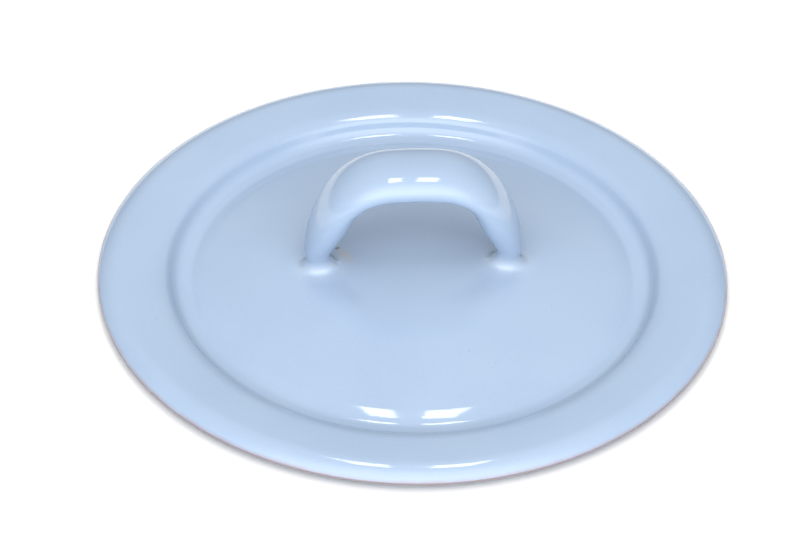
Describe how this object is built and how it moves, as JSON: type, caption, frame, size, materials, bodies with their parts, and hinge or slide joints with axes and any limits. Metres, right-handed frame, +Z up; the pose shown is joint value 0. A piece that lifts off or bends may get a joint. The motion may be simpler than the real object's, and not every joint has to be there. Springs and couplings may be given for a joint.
{
  "type": "bedpan lid",
  "caption": "Shallow round lid of pale blue enamelled steel with a sunk domed panel, a turned-down rim and a hollow strap handle, for a bedpan or similar ward vessel.",
  "frame": {"origin": "on the lid's axis, at the level of the land under the groove that the lid rests on", "axes": "+Z up through the top of the handle, X along the handle from foot to foot, Y across the strap"},
  "size_m": [0.24, 0.24, 0.0585],
  "materials": {
    "steel_sheet": "cold-rolled",
    "weld_steel": "as welded",
    "cover_enamel": "gloss vitreous enamel",
    "underside_enamel": "gloss vitreous enamel",
    "edge_enamel": "thin fired ground coat",
    "ground_enamel": "ground coat"
  },
  "bodies": {
    "root": {"lid_pressing": "steel_sheet", "lid_top_enamel": "cover_enamel", "lid_underside_enamel": "underside_enamel", "edge_ground_coat": "edge_enamel", "handle_channel": "steel_sheet", "handle_enamel": "cover_enamel", "handle_inner_coat": "ground_enamel", "foot_weld_left": "weld_steel", "foot_weld_right": "weld_steel"}
  },
  "joints": []
}
